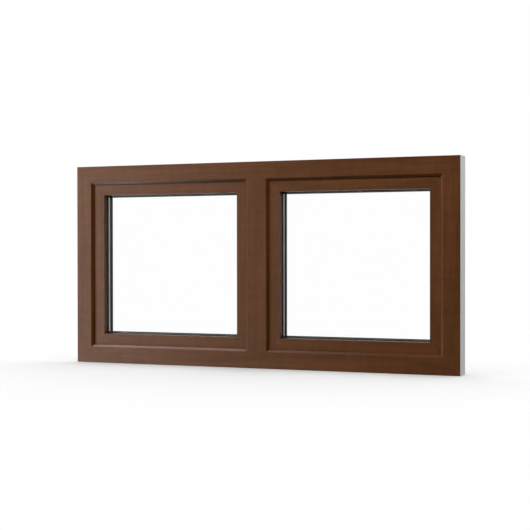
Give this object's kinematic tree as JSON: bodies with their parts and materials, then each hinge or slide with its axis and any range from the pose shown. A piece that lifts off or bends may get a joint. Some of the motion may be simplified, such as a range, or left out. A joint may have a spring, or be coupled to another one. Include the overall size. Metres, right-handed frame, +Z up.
{
  "type": "pvc casement window",
  "caption": "Wide PVC window with a bevelled frame, a central mullion and inset double-glazed sashes, brown woodgrain outside and white inside, standing on its sill.",
  "frame": {"origin": "on the underside of the sill, midway along it and midway through the frame's depth", "axes": "+X to the right seen from outside, +Y from the weather side into the room, +Z up"},
  "size_m": [1.5, 0.14, 0.75],
  "materials": {
    "walnut_pvc": "satin woodgrain foil on PVC",
    "white_pvc": "smooth white PVC",
    "clear_glass": "clear float glass",
    "aluminium_spacer": "satin aluminium spacer bar",
    "black_rubber": "black sealing rubber",
    "white_hardware": "white powder coat"
  },
  "bodies": {
    "root": {"frame_head": "walnut_pvc", "frame_sill": "walnut_pvc", "frame_left_jamb": "walnut_pvc", "frame_right_jamb": "walnut_pvc", "mullion": "walnut_pvc", "left_sash_top_rail": "walnut_pvc", "left_sash_bottom_rail": "walnut_pvc", "left_sash_hinge_stile": "walnut_pvc", "left_sash_handle_stile": "walnut_pvc", "left_top_bead": "white_pvc", "left_bottom_bead": "white_pvc", "left_hinge_bead": "white_pvc", "left_handle_bead": "white_pvc", "left_outer_pane": "clear_glass", "left_inner_pane": "clear_glass", "left_glass_spacer": "aluminium_spacer", "left_outer_glazing_gasket": "black_rubber", "left_inner_glazing_gasket": "black_rubber", "left_weather_seal": "black_rubber", "left_overlap_seal": "black_rubber", "left_handle_rosette": "white_hardware", "left_handle_lever": "white_hardware", "left_upper_hinge": "white_hardware", "left_lower_hinge": "white_hardware", "right_sash_top_rail": "walnut_pvc", "right_sash_bottom_rail": "walnut_pvc", "right_sash_hinge_stile": "walnut_pvc", "right_sash_handle_stile": "walnut_pvc", "right_top_bead": "white_pvc", "right_bottom_bead": "white_pvc", "right_hinge_bead": "white_pvc", "right_handle_bead": "white_pvc", "right_outer_pane": "clear_glass", "right_inner_pane": "clear_glass", "right_glass_spacer": "aluminium_spacer", "right_outer_glazing_gasket": "black_rubber", "right_inner_glazing_gasket": "black_rubber", "right_weather_seal": "black_rubber", "right_overlap_seal": "black_rubber", "right_handle_rosette": "white_hardware", "right_handle_lever": "white_hardware", "right_upper_hinge": "white_hardware", "right_lower_hinge": "white_hardware"}
  },
  "joints": []
}
